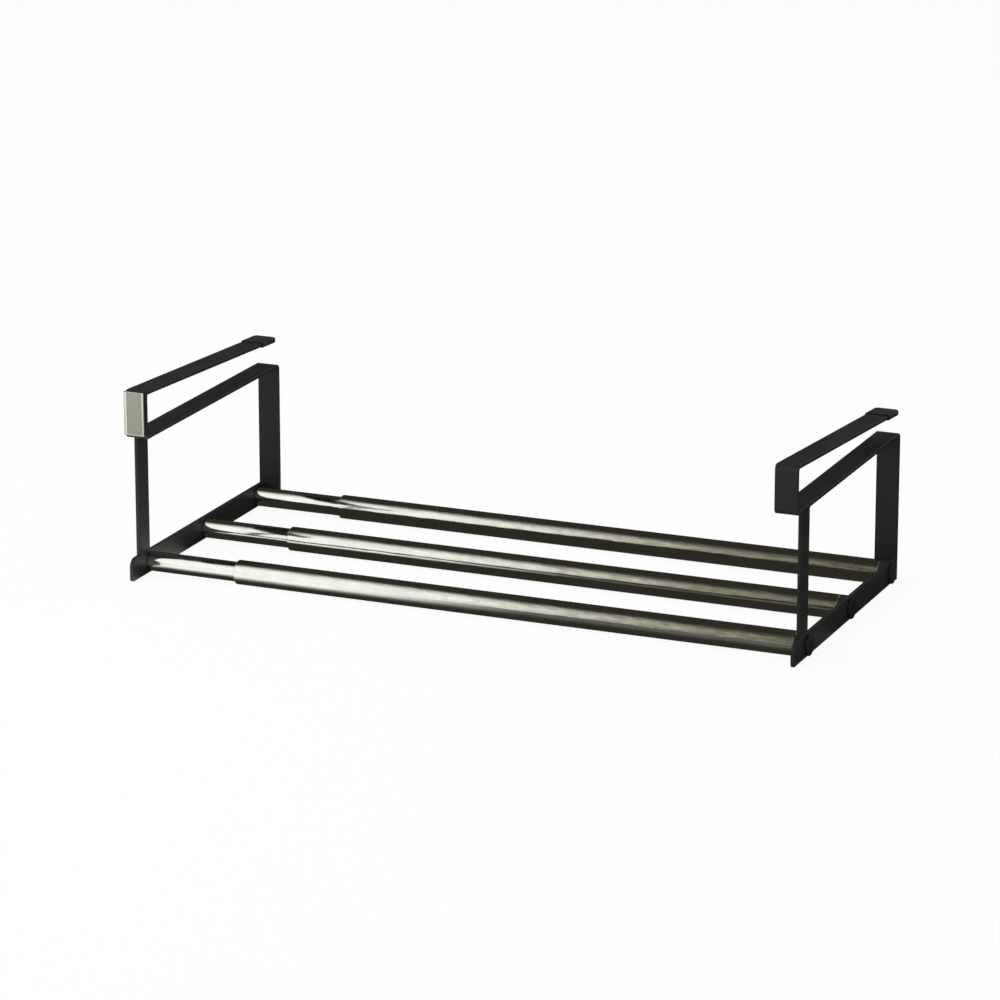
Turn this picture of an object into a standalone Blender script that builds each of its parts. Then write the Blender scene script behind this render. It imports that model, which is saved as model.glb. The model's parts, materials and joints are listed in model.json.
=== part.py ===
"""Extendable shoe rack that hooks onto a shelf board.

Two bent-strip hooks stand on steel base bars. Three telescopic tubes join them,
so the left half slides along X in and out of the right half.
"""

import math

import bmesh
import bpy
from mathutils import Matrix

# Driving dimensions, in metres and degrees.

# Gaps between pieces
FIT_GAP = 0.0003
RUNNING_CLEARANCE = 0.0003

# Hooks, each bent from one flat strip
HOOK_WIDTH = 0.02
HOOK_THICKNESS = 0.003
HOOK_DEPTH = 0.2605
LOWER_ARM_HEIGHT = 0.1301
SLOT_HEIGHT = 0.036
TIP_SETBACK = 0.008
LEFT_ARM_SLOPE = 3.09
RIGHT_ARM_SLOPE = 4.12
BEND_RADIUS = 0.0015
TIP_CORNER_RADIUS = 0.0035

# Base bars and front posts, flat bar on edge
BAR_THICKNESS = 0.003
BAR_HEIGHT = 0.02
BAR_INSET = 0.001
BAR_TOP_RADIUS = 0.008
BAR_BOTTOM_RADIUS = 0.0025
POST_WIDTH = 0.02
POST_SETBACK = 0.0132

# Telescopic tubes
INNER_TUBE_RADIUS = 0.0085
INNER_TUBE_WALL = 0.0008
OUTER_TUBE_WALL = 0.0008
OUTER_TUBE_LENGTH = 0.5025
EXPOSED_LENGTH = 0.083
TUBE_SETBACK = 0.0348
TUBE_LEG_GAP = 0.0005
TUBE_AXIS_HEIGHT = 0.0093
BUSH_WALL = 0.0006
BUSH_LENGTH = 0.025
SLEEVE_LENGTH = 0.025

# Plastic ends that the bolts screw into
COLLAR_LENGTH = 0.0057
SPIGOT_LENGTH = 0.018
PLUG_LENGTH = 0.02
END_CHAMFER = 0.001

# Bolts
BOLT_RADIUS = 0.003
BOLT_LENGTH = 0.02
BOLT_CLEARANCE = 0.0003
BOLT_TIP_CHAMFER = 0.0007
HEAD_RADIUS = 0.009
HEAD_THICKNESS = 0.002
HEAD_CHAMFER = 0.0006
SOCKET_ACROSS_FLATS = 0.004
SOCKET_DEPTH = 0.0014

# Slip-on caps of the top arms' tips
CAP_WALL = 0.0007
CAP_END_WALL = 0.0012
CAP_LENGTH = 0.0272

# Cover plate of the left hook and the pad behind it
PLATE_THICKNESS = 0.0015
PLATE_TOP_MARGIN = 0.0002
PLATE_BOTTOM_MARGIN = 0.0039
PLATE_SIDE_MARGIN = 0.0007
RIM_WIDTH = 0.0028
RIM_RISE = 0.0004
PAD_THICKNESS = 0.0017
PAD_MARGIN = 0.0005

# Fineness of the round shapes
EDGE_SOFTENING = 0.0003
BEND_STEPS = 6
TUBE_SEGMENTS = 36
BOLT_SEGMENTS = 20
CUT_MARGIN = 0.001

# Sizes and places that follow from the ones above.
# Heights are measured from the base bars' underside, depths from the hooks' front face,
# and widths inwards from each hook's outer edge.
outer_tube_bore = INNER_TUBE_RADIUS + RUNNING_CLEARANCE + BUSH_WALL + FIT_GAP
outer_tube_radius = outer_tube_bore + OUTER_TUBE_WALL
inner_tube_bore = INNER_TUBE_RADIUS - INNER_TUBE_WALL
inner_tube_length = OUTER_TUBE_LENGTH - SPIGOT_LENGTH
bolt_hole_radius = BOLT_RADIUS + BOLT_CLEARANCE
bar_inner_face = BAR_INSET + BAR_THICKNESS
tube_start = bar_inner_face + FIT_GAP
outer_tube_start = tube_start + COLLAR_LENGTH + FIT_GAP
overall_width = bar_inner_face + EXPOSED_LENGTH + OUTER_TUBE_LENGTH + outer_tube_start
plate_standoff = FIT_GAP + PAD_THICKNESS + FIT_GAP + PLATE_THICKNESS
hook_top = LOWER_ARM_HEIGHT + SLOT_HEIGHT + HOOK_THICKNESS
leg_face = HOOK_DEPTH - HOOK_THICKNESS
top_arm_reach = HOOK_DEPTH - TIP_SETBACK
rear_tube_depth = leg_face - TUBE_LEG_GAP - max(outer_tube_radius, HEAD_RADIUS)
tube_pitch = (rear_tube_depth - TUBE_SETBACK) / 2
TUBE_DEPTHS = {
    "front": TUBE_SETBACK,
    "middle": TUBE_SETBACK + tube_pitch,
    "rear": rear_tube_depth,
}

# Axis frames for prisms: an outline in XY pushed along Z, or in YZ pushed along X.
UPRIGHT = Matrix.Identity(4)
SIDEWAYS = Matrix(((0, 0, 1, 0), (1, 0, 0, 0), (0, 1, 0, 0), (0, 0, 0, 1)))


def clear_scene():
    for obj in list(bpy.data.objects):
        bpy.data.objects.remove(obj)


# Materials


def srgb_to_linear(value):
    if value <= 0.04045:
        return value / 12.92
    return ((value + 0.055) / 1.055) ** 2.4


def material(name, grey, roughness, metallic):
    """Principled material of an sRGB colour given as three values from 0 to 255."""
    found = bpy.data.materials.get(name)
    if found:
        return found
    made = bpy.data.materials.new(name)
    made.use_nodes = True
    shader = made.node_tree.nodes["Principled BSDF"]
    colour = [srgb_to_linear(part / 255) for part in grey]
    shader.inputs["Base Color"].default_value = (*colour, 1)
    shader.inputs["Roughness"].default_value = roughness
    shader.inputs["Metallic"].default_value = metallic
    return made


def black_painted_steel():
    return material("black_painted_steel", (40, 40, 42), 0.5, 0)


def chromed_steel():
    return material("chromed_steel", (200, 198, 190), 0.12, 1)


def satin_steel():
    return material("satin_steel", (168, 168, 158), 0.4, 1)


def black_nylon():
    return material("black_nylon", (30, 30, 32), 0.55, 0)


def white_acetal():
    return material("white_acetal", (222, 222, 216), 0.4, 0)


def blackened_steel():
    return material("blackened_steel", (34, 34, 36), 0.4, 0.6)


def soft_black_vinyl():
    return material("soft_black_vinyl", (33, 33, 34), 0.65, 0)


def black_foam_tape():
    return material("black_foam_tape", (24, 24, 25), 0.9, 0)


# Outlines


def arc_at_corner(before, corner, after, radius, steps):
    """Points of the arc that rounds one corner of an outline."""
    to_before = (before - corner).normalized()
    to_after = (after - corner).normalized()
    half_angle = to_before.angle(to_after) / 2
    centre = corner + (to_before + to_after).normalized() * radius / math.sin(half_angle)
    run = radius / math.tan(half_angle)
    first = corner + to_before * run - centre
    last = corner + to_after * run - centre
    sweep = first.angle(last)
    points = []
    for step in range(steps + 1):
        share = step / steps
        weights = (math.sin((1 - share) * sweep), math.sin(share * sweep))
        points.append(centre + (first * weights[0] + last * weights[1]) / math.sin(sweep))
    return points


def rounded_outline(corners, steps=BEND_STEPS):
    """Closed outline from corners given as (u, v, radius)."""
    places = [Matrix.Translation((u, v, 0)).translation for u, v, _ in corners]
    outline = []
    for index, (_, _, radius) in enumerate(corners):
        before = places[index - 1]
        after = places[(index + 1) % len(places)]
        if radius > 0:
            outline += arc_at_corner(before, places[index], after, radius, steps)
        else:
            outline.append(places[index])
    return [(point.x, point.y) for point in outline]


# Solids


def mesh_object(name, solid, finish, smooth=False):
    """Object made of a finished bmesh, its faces pointing out."""
    bmesh.ops.recalc_face_normals(solid, faces=solid.faces)
    mesh = bpy.data.meshes.new(name)
    solid.to_mesh(mesh)
    solid.free()
    if smooth:
        mesh.shade_smooth()
        mesh.set_sharp_from_angle(angle=math.radians(35))
    mesh.materials.append(finish)
    obj = bpy.data.objects.new(name, mesh)
    bpy.context.scene.collection.objects.link(obj)
    return obj


def prism(outline, height, axes):
    """Outline pushed out to a height, centred on its own plane."""
    solid = bmesh.new()
    base = [solid.verts.new((u, v, -height / 2)) for u, v in outline]
    face = solid.faces.new(base)
    pushed = bmesh.ops.extrude_face_region(solid, geom=[face])
    top = [item for item in pushed["geom"] if isinstance(item, bmesh.types.BMVert)]
    bmesh.ops.translate(solid, verts=top, vec=(0, 0, height))
    bmesh.ops.transform(solid, matrix=axes, verts=solid.verts)
    return solid


def turned(profile, segments=TUBE_SEGMENTS, closed=True):
    """Profile of (x, radius) points spun about the X axis, with one corner straight down."""
    solid = bmesh.new()
    points = [solid.verts.new((x, 0, -radius)) for x, radius in profile]
    pairs = list(zip(points, points[1:]))
    if closed:
        pairs.append((points[-1], points[0]))
    edges = [solid.edges.new(pair) for pair in pairs]
    bmesh.ops.spin(
        solid,
        geom=points + edges,
        cent=(0, 0, 0),
        axis=(1, 0, 0),
        angle=math.tau,
        steps=segments,
    )
    bmesh.ops.remove_doubles(solid, verts=solid.verts, dist=1e-6)
    return solid


def ring_profile(length, outside, bore, chamfer=0):
    """Profile of a plain ring or tube, with its far outer edge taken off."""
    return [
        (0, bore),
        (0, outside),
        (length - chamfer, outside),
        (length, outside - chamfer),
        (length, bore),
    ] if chamfer else [(0, bore), (0, outside), (length, outside), (length, bore)]


def soften_edges(obj):
    bevel = obj.modifiers.new("soft_edges", "BEVEL")
    bevel.width = EDGE_SOFTENING
    bevel.segments = 1
    bevel.limit_method = "ANGLE"
    bevel.angle_limit = math.radians(40)


def cut(obj, solid, name):
    """Takes a solid, given in the object's own axes, out of the object."""
    cutter = mesh_object(name, solid, obj.data.materials[0])
    cutter.parent = obj
    cutter.hide_render = True
    cutter.display_type = "WIRE"
    boolean = obj.modifiers.new(name, "BOOLEAN")
    boolean.operation = "DIFFERENCE"
    boolean.solver = "EXACT"
    boolean.object = cutter


# Halves


class Half:
    """One half of the rack: an empty on the slide's axis that carries its pieces."""

    def __init__(self, side, inward, arm_slope):
        self.side = side
        self.inward = inward
        self.arm_slope = math.radians(arm_slope)
        self.empty = bpy.data.objects.new(side + "_half", None)
        bpy.context.scene.collection.objects.link(self.empty)
        front = (HOOK_DEPTH + plate_standoff) / 2 - HOOK_DEPTH
        self.empty.location = (
            -inward * overall_width / 2,
            front + TUBE_DEPTHS["middle"],
            outer_tube_radius,
        )

    def place(self, obj, across, depth, height, follow_side=False):
        """Puts a piece on this half, turned to point inwards where it follows the side."""
        obj.parent = self.empty
        obj.location = (
            self.inward * across,
            depth - TUBE_DEPTHS["middle"],
            height - TUBE_AXIS_HEIGHT,
        )
        if follow_side and self.inward < 0:
            obj.rotation_euler.z = math.pi
        return obj


# Side frames


def round_tip(solid, tip_corners):
    """Rounds the two upright corners of the top arm's tip."""
    ends = [
        edge
        for edge in solid.edges
        if all(
            any(math.dist(vert.co.yz, corner) < 1e-6 for corner in tip_corners)
            for vert in edge.verts
        )
        and abs(edge.verts[0].co.x - edge.verts[1].co.x) < 1e-6
    ]
    bmesh.ops.bevel(
        solid,
        geom=ends,
        offset=TIP_CORNER_RADIUS,
        segments=BEND_STEPS,
        profile=0.5,
        affect="EDGES",
    )


def make_hook(half):
    """Top arm, front drop, lower arm and back leg, bent from one strip."""
    slope = half.arm_slope
    tip_height = hook_top - top_arm_reach * math.tan(slope)
    tip_top = (top_arm_reach, tip_height)
    tip_under = (
        top_arm_reach - HOOK_THICKNESS * math.sin(slope),
        tip_height - HOOK_THICKNESS * math.cos(slope),
    )
    under_front = hook_top - HOOK_THICKNESS * (math.tan(slope) + 1 / math.cos(slope))
    outside = BEND_RADIUS + HOOK_THICKNESS
    lower_arm_under = LOWER_ARM_HEIGHT - HOOK_THICKNESS
    outline = rounded_outline(
        [
            (0, hook_top, outside),
            (*tip_top, 0),
            (*tip_under, 0),
            (HOOK_THICKNESS, under_front, BEND_RADIUS),
            (HOOK_THICKNESS, LOWER_ARM_HEIGHT, BEND_RADIUS),
            (HOOK_DEPTH, LOWER_ARM_HEIGHT, outside),
            (HOOK_DEPTH, 0, 0),
            (leg_face, 0, 0),
            (leg_face, lower_arm_under, BEND_RADIUS),
            (0, lower_arm_under, outside),
        ]
    )
    solid = prism(outline, HOOK_WIDTH, SIDEWAYS)
    round_tip(solid, (tip_top, tip_under))
    hook = mesh_object("hook_strap_" + half.side, solid, black_painted_steel())
    soften_edges(hook)
    half.place(hook, HOOK_WIDTH / 2, 0, 0)


def make_base_bar(half):
    """Bar on edge that the three tubes are bolted to."""
    rear = leg_face - FIT_GAP
    outline = rounded_outline(
        [
            (0, 0, BAR_BOTTOM_RADIUS),
            (rear, 0, 0),
            (rear, BAR_HEIGHT, 0),
            (0, BAR_HEIGHT, BAR_TOP_RADIUS),
        ]
    )
    solid = prism(outline, BAR_THICKNESS, SIDEWAYS)
    bar = mesh_object("base_bar_" + half.side, solid, black_painted_steel())
    soften_edges(bar)
    cutter_length = BAR_THICKNESS + 2 * CUT_MARGIN
    holes = bmesh.new()
    for depth in TUBE_DEPTHS.values():
        place = Matrix.Translation((0, depth, TUBE_AXIS_HEIGHT))
        bmesh.ops.create_cone(
            holes,
            cap_ends=True,
            segments=BOLT_SEGMENTS,
            radius1=bolt_hole_radius,
            radius2=bolt_hole_radius,
            depth=cutter_length,
            matrix=place @ SIDEWAYS,
        )
    cut(bar, holes, "bolt_holes_" + half.side)
    half.place(bar, BAR_INSET + BAR_THICKNESS / 2, 0, 0)


def make_post(half):
    """Short upright between the base bar and the lower arm."""
    foot = BAR_HEIGHT + FIT_GAP
    head = LOWER_ARM_HEIGHT - HOOK_THICKNESS - FIT_GAP
    rear = POST_SETBACK + POST_WIDTH
    outline = [(POST_SETBACK, foot), (rear, foot), (rear, head), (POST_SETBACK, head)]
    solid = prism(outline, BAR_THICKNESS, SIDEWAYS)
    post = mesh_object("front_post_" + half.side, solid, black_painted_steel())
    soften_edges(post)
    half.place(post, BAR_INSET + BAR_THICKNESS / 2, 0, 0)


def tip_slab(grown, back, thickness):
    """Slab as wide as the arm's tip and grown all round it, running back from the tip."""
    half_width = HOOK_WIDTH / 2 + grown
    corner = TIP_CORNER_RADIUS + grown
    outline = rounded_outline(
        [
            (-half_width, -back, 0),
            (half_width, -back, 0),
            (half_width, 0, corner),
            (-half_width, 0, corner),
        ]
    )
    return prism(outline, thickness, UPRIGHT)


def make_tip_cap(half):
    """Soft cap slipped over the tip of the top arm."""
    slope = half.arm_slope
    grown = FIT_GAP + CAP_WALL
    thickness = HOOK_THICKNESS + 2 * grown
    body = tip_slab(grown, CAP_LENGTH, thickness)
    cap = mesh_object("tip_cap_" + half.side, body, soft_black_vinyl())
    soften_edges(cap)
    pocket = tip_slab(FIT_GAP, CAP_LENGTH + CUT_MARGIN, HOOK_THICKNESS + 2 * FIT_GAP)
    bmesh.ops.translate(pocket, verts=pocket.verts, vec=(0, -CAP_END_WALL, 0))
    cut(cap, pocket, "cap_pocket_" + half.side)
    beyond_tip = FIT_GAP + CAP_END_WALL
    below_top = HOOK_THICKNESS / 2
    tip_depth = top_arm_reach + beyond_tip * math.cos(slope) - below_top * math.sin(slope)
    tip_height = (
        hook_top
        - top_arm_reach * math.tan(slope)
        - beyond_tip * math.sin(slope)
        - below_top * math.cos(slope)
    )
    half.place(cap, HOOK_WIDTH / 2, tip_depth, tip_height)
    cap.rotation_euler.x = -slope


# Cover plate


def make_front_plate(half):
    """Bare satin plate with two raised side rims, on the front of the left hook's drop."""
    half_width = HOOK_WIDTH / 2 - PLATE_SIDE_MARGIN
    rim = half_width - RIM_WIDTH
    face = RIM_RISE - PLATE_THICKNESS
    outline = [
        (-half_width, 0),
        (half_width, 0),
        (half_width, -PLATE_THICKNESS),
        (rim, -PLATE_THICKNESS),
        (rim, face),
        (-rim, face),
        (-rim, -PLATE_THICKNESS),
        (-half_width, -PLATE_THICKNESS),
    ]
    top = hook_top - PLATE_TOP_MARGIN
    foot = LOWER_ARM_HEIGHT - HOOK_THICKNESS + PLATE_BOTTOM_MARGIN
    solid = prism(outline, top - foot, UPRIGHT)
    plate = mesh_object("front_plate", solid, satin_steel())
    back = PLATE_THICKNESS - plate_standoff
    half.place(plate, HOOK_WIDTH / 2, back, (top + foot) / 2)


def make_plate_pad(half):
    """Adhesive foam pad that holds the plate on the strip."""
    inset = PLATE_SIDE_MARGIN + PAD_MARGIN
    top = hook_top - PLATE_TOP_MARGIN - PAD_MARGIN
    foot = LOWER_ARM_HEIGHT - HOOK_THICKNESS + PLATE_BOTTOM_MARGIN + PAD_MARGIN
    half_width = HOOK_WIDTH / 2 - inset
    half_depth = PAD_THICKNESS / 2
    outline = [
        (-half_width, -half_depth),
        (half_width, -half_depth),
        (half_width, half_depth),
        (-half_width, half_depth),
    ]
    solid = prism(outline, top - foot, UPRIGHT)
    pad = mesh_object("plate_pad", solid, black_foam_tape())
    half.place(pad, HOOK_WIDTH / 2, -FIT_GAP - half_depth, (top + foot) / 2)


# Tubes and their plastic pieces


def place_round(half, obj, across, row):
    half.place(obj, across, TUBE_DEPTHS[row], TUBE_AXIS_HEIGHT, follow_side=True)


def make_bolt(half, row):
    """Flat-headed bolt with a hexagon socket, put through the base bar from outside."""
    profile = [
        (-HEAD_THICKNESS, 0),
        (-HEAD_THICKNESS, HEAD_RADIUS - HEAD_CHAMFER),
        (HEAD_CHAMFER - HEAD_THICKNESS, HEAD_RADIUS),
        (0, HEAD_RADIUS),
        (0, BOLT_RADIUS),
        (BOLT_LENGTH - BOLT_TIP_CHAMFER, BOLT_RADIUS),
        (BOLT_LENGTH, BOLT_RADIUS - BOLT_TIP_CHAMFER),
        (BOLT_LENGTH, 0),
    ]
    name = f"bolt_{half.side}_{row}"
    solid = turned(profile, TUBE_SEGMENTS, closed=False)
    bolt = mesh_object(name, solid, blackened_steel(), smooth=True)
    socket = bmesh.new()
    length = SOCKET_DEPTH + CUT_MARGIN
    centre = Matrix.Translation((length / 2 - HEAD_THICKNESS - CUT_MARGIN, 0, 0))
    bmesh.ops.create_cone(
        socket,
        cap_ends=True,
        segments=6,
        radius1=SOCKET_ACROSS_FLATS / math.sqrt(3),
        radius2=SOCKET_ACROSS_FLATS / math.sqrt(3),
        depth=length,
        matrix=centre @ SIDEWAYS,
    )
    cut(bolt, socket, "socket_" + name)
    place_round(half, bolt, BAR_INSET - FIT_GAP, row)


def make_inner_tube(half, row):
    profile = ring_profile(inner_tube_length, INNER_TUBE_RADIUS, inner_tube_bore)
    tube = mesh_object("inner_tube_" + row, turned(profile), chromed_steel(), smooth=True)
    place_round(half, tube, tube_start, row)


def make_tube_plug(half, row):
    """Plug that fills the inner tube's end, for the bolt to screw into."""
    outside = inner_tube_bore - FIT_GAP
    profile = ring_profile(PLUG_LENGTH, outside, bolt_hole_radius, END_CHAMFER)
    plug = mesh_object("tube_plug_" + row, turned(profile), black_nylon(), smooth=True)
    place_round(half, plug, tube_start, row)


def make_end_sleeve(half, row):
    """Sleeve on the inner tube's far end, which slides in the outer tube."""
    outside = outer_tube_bore - RUNNING_CLEARANCE
    profile = ring_profile(SLEEVE_LENGTH, outside, INNER_TUBE_RADIUS + FIT_GAP)
    sleeve = mesh_object("end_sleeve_" + row, turned(profile), white_acetal(), smooth=True)
    place_round(half, sleeve, tube_start + inner_tube_length - SLEEVE_LENGTH, row)


def make_outer_tube(half, row):
    profile = ring_profile(OUTER_TUBE_LENGTH, outer_tube_radius, outer_tube_bore)
    tube = mesh_object("outer_tube_" + row, turned(profile), chromed_steel(), smooth=True)
    place_round(half, tube, outer_tube_start, row)


def make_end_holder(half, row):
    """Collar as wide as the outer tube, with a spigot that the tube is pressed on."""
    spigot = outer_tube_bore - FIT_GAP
    length = COLLAR_LENGTH + SPIGOT_LENGTH
    profile = [
        (0, bolt_hole_radius),
        (0, outer_tube_radius),
        (COLLAR_LENGTH, outer_tube_radius),
        (COLLAR_LENGTH, spigot),
        (length - END_CHAMFER, spigot),
        (length, spigot - END_CHAMFER),
        (length, bolt_hole_radius),
    ]
    holder = mesh_object("end_holder_" + row, turned(profile), black_nylon(), smooth=True)
    place_round(half, holder, tube_start, row)


def make_mouth_bush(half, row):
    """Guide bush in the outer tube's mouth, in which the inner tube slides."""
    outside = outer_tube_bore - FIT_GAP
    profile = ring_profile(BUSH_LENGTH, outside, INNER_TUBE_RADIUS + RUNNING_CLEARANCE)
    bush = mesh_object("mouth_bush_" + row, turned(profile), black_nylon(), smooth=True)
    mouth = outer_tube_start + OUTER_TUBE_LENGTH
    place_round(half, bush, mouth - BUSH_LENGTH, row)


def main():
    clear_scene()
    left = Half("left", 1, LEFT_ARM_SLOPE)
    right = Half("right", -1, RIGHT_ARM_SLOPE)
    for half in (left, right):
        make_hook(half)
        make_base_bar(half)
        make_post(half)
        make_tip_cap(half)
    make_front_plate(left)
    make_plate_pad(left)
    for row in TUBE_DEPTHS:
        make_bolt(left, row)
        make_tube_plug(left, row)
        make_inner_tube(left, row)
        make_end_sleeve(left, row)
        make_bolt(right, row)
        make_end_holder(right, row)
        make_outer_tube(right, row)
        make_mouth_bush(right, row)


main()
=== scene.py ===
"""Extendable shoe rack that hooks onto a shelf board: the looks of its pieces.

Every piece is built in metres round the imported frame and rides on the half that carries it.
"""

import json
import math

import bmesh
import bpy
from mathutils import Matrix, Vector


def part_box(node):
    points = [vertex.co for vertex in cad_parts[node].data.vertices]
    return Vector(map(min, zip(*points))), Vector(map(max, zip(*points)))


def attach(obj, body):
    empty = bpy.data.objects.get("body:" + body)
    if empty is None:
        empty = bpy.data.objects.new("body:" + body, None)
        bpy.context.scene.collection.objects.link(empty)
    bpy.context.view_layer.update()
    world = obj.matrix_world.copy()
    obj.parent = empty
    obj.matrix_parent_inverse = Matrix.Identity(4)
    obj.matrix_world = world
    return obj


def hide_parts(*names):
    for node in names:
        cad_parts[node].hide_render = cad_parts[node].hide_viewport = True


bl_info = {
    "name": "Extendable Shoe Rack",
    "version": (1, 0, 0),
    "blender": (4, 5, 0),
    "location": "3D Viewport > Sidebar > Shoe Rack",
    "description": "Builds a shelf-hung shoe rack with telescopic tubes",
    "category": "Add Mesh",
}

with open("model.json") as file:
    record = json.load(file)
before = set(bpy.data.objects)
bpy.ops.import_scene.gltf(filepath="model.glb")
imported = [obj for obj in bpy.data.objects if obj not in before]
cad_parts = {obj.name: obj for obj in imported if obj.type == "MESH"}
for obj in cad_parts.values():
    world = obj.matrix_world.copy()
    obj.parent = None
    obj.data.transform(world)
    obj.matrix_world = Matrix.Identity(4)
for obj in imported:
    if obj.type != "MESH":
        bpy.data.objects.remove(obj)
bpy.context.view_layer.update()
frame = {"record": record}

MM = 0.001
BODIES = {"left": "left_half", "right": "right_half"}
INWARD = {"left": 1, "right": -1}
ROWS = ("front", "middle", "rear")
# Points closer than this are one point
SAME_POINT = 1e-7
# A noise texture hardly leaves this span
NOISE_SPAN = {"From Min": 0.3, "From Max": 0.7}


# Colours and properties


def srgb(hex_code):
    """Linear colour of an sRGB hex value."""
    linear = []
    for start in (0, 2, 4):
        value = int(hex_code[start:start + 2], 16) / 255
        linear.append(value / 12.92 if value <= 0.04045 else ((value + 0.055) / 1.055) ** 2.4)
    return linear


def length(name, description, millimetres):
    return bpy.props.FloatProperty(
        name=name,
        description=description,
        default=millimetres * MM,
        min=0,
        precision=5,
        subtype="DISTANCE",
        unit="LENGTH",
    )


def colour(name, description, hex_code):
    return bpy.props.FloatVectorProperty(
        name=name,
        description=description,
        default=srgb(hex_code),
        min=0,
        max=1,
        subtype="COLOR",
    )


def rotation(name, description, degrees):
    return bpy.props.FloatProperty(
        name=name,
        description=description,
        default=math.radians(degrees),
        subtype="ANGLE",
        unit="ROTATION",
    )


def number(name, description, value, **limits):
    return bpy.props.FloatProperty(name=name, description=description, default=value, **limits)


class RackSizes(bpy.types.PropertyGroup):
    """Sizes of the details; the frame gives all others"""

    joint_gap: length("Joint gap", "Gap between two pieces that seat on each other", 0.3)
    strip: length("Strip thickness", "Thickness of the flat strip of hooks and bars", 3)
    strip_roll: length("Strip edge radius", "Radius of the strip's rolled edges", 0.6)
    bend: length("Bend radius", "Inner radius of the hooks' bends", 1.5)
    bar_nose: length("Bar nose radius", "Radius of the bars' upper front corner", 8)
    bar_toe: length("Bar toe radius", "Radius of the bars' lower front corner", 2.5)
    weld: length("Weld leg", "Reach of the fillet welds on each face", 0.9)
    weld_ripple: length("Weld ripple", "Spacing of the ripples along a weld", 1.4)
    cap_wall: length("Cap wall", "Wall of the slip-on caps", 0.7)
    cap_end: length("Cap end wall", "Thickness of the caps' closed end", 1.2)
    cap_corner: length("Cap corner radius", "Radius of the caps' corners seen from above", 4.5)
    cap_edge: length("Cap edge radius", "Radius along the caps' edges", 1.7)
    tube_wall: length("Tube wall", "Wall of the telescopic tubes", 0.8)
    tube_roll: length("Tube edge radius", "Radius of the tubes' deburred ends", 0.35)
    plastic_edge: length("Plastic edge radius", "Radius of moulded edges", 0.5)
    bolt_shank: length("Bolt shank radius", "Radius of the bolts' shanks", 3)
    bolt_hole: length("Bolt hole radius", "Radius of the holes that the bolts pass", 3.3)
    bolt_head: length("Bolt head thickness", "Height of the bolts' flat heads", 2)
    bolt_edge: length("Bolt edge radius", "Radius of the bolt heads' rims", 0.6)
    socket: length("Socket size", "Size across flats of the bolts' hexagon sockets", 4)
    socket_depth: length("Socket depth", "Depth of the bolts' sockets", 1.4)
    rim_width: length("Rim width", "Width of the cover plate's side rims", 2.8)
    end_rim: length("End rim width", "Width of the rims at the plate's top and foot", 1.1)
    rim_rise: length("Rim rise", "Height of the rims over the plate's face", 0.4)


class RackFinishes(bpy.types.PropertyGroup):
    """Colours of the finishes"""

    paint: colour("Powder coat", "Black powder coat of the steel frames", "1D1D1E")
    paint_thin: colour("Thin powder coat", "Powder coat where it lies thinner", "222223")
    chrome: colour("Chrome", "Chrome plate of the tubes", "DADAD7")
    chrome_haze: colour("Chrome haze", "Chrome plate where a polishing haze is left", "C2C2BA")
    plate: colour("Satin steel", "Brushed face of the cover plate", "A8A89C")
    plate_rim: colour("Bright steel", "Polished rims of the cover plate", "D4D4CC")
    nylon: colour("Black nylon", "Moulded collars, bushes and plugs", "1E1E20")
    acetal: colour("White acetal", "Sliding sleeves", "DEDED8")
    vinyl: colour("Black vinyl", "Caps of the hooks' tips", "212122")
    oxide: colour("Black oxide", "Blackened steel of the bolts", "1A1A1B")
    foam: colour("Black foam", "Adhesive pad of the cover plate", "19191A")
    floor: colour("Floor", "Pale studio floor", "F4F4F2")


class RackStudio(bpy.types.PropertyGroup):
    """Camera, lamps and the reflections' surroundings"""

    azimuth: rotation("Camera azimuth", "Turn of the camera to the right of the rack's front", 22.855)
    elevation: rotation("Camera elevation", "Angle of the camera over the horizon", 16.462)
    distance: length("Camera distance", "From the camera to the point it aims at", 4097.9)
    aim: bpy.props.FloatVectorProperty(
        name="Aim",
        description="Point that the camera aims at",
        default=(-0.01154, 0.00005, 0.0718),
        subtype="XYZ",
        unit="LENGTH",
    )
    lens: number("Lens", "Focal length in millimetres on a sensor 36 mm wide", 174.05)
    sky_level: number(
        "Sky level", "Even light from all round, where 1 shows a colour as it is written", 0.72
    )
    key_power: number("Key lamp", "Power of the soft lamp over the front, in watts", 26.0)
    stripe_level: number(
        "Stripe light", "Level of the light that the tubes mirror as their bright stripe", 1.55
    )
    side_level: number(
        "Side lights", "Level of the lights that the tubes mirror in the other views", 1.0
    )
    floor_whiteness: number(
        "Floor whiteness",
        "Share of plain white in the floor as it is seen; the rest keeps the shadow",
        0.93,
        min=0,
        max=1,
    )
    light: colour("Light", "Tint of the mirrored lights", "FFFFFD")
    low_light: colour("Low light", "Dim light that the tubes mirror at their right ends", "8E8960")
    tent: colour("Tent", "Dark cloth round the stage that the tubes mirror", "36352D")


# Meshes


def weighted(obj):
    """Keeps flat faces flat, and long round ones true, next to rounded edges."""
    normals = obj.modifiers.new("even_faces", "WEIGHTED_NORMAL")
    normals.keep_sharp = True


def piece(name, solid, body, finish, node=None, sharp=35):
    """Object of a finished bmesh, riding on a body and standing for a node of the frame."""
    bmesh.ops.recalc_face_normals(solid, faces=solid.faces)
    mesh = bpy.data.meshes.new(name)
    solid.to_mesh(mesh)
    solid.free()
    mesh.shade_smooth()
    mesh.set_sharp_from_angle(angle=math.radians(sharp))
    mesh.materials.append(finish)
    obj = bpy.data.objects.new(name, mesh)
    bpy.context.scene.collection.objects.link(obj)
    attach(obj, body)
    if node:
        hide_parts(node)
    return obj


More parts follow.
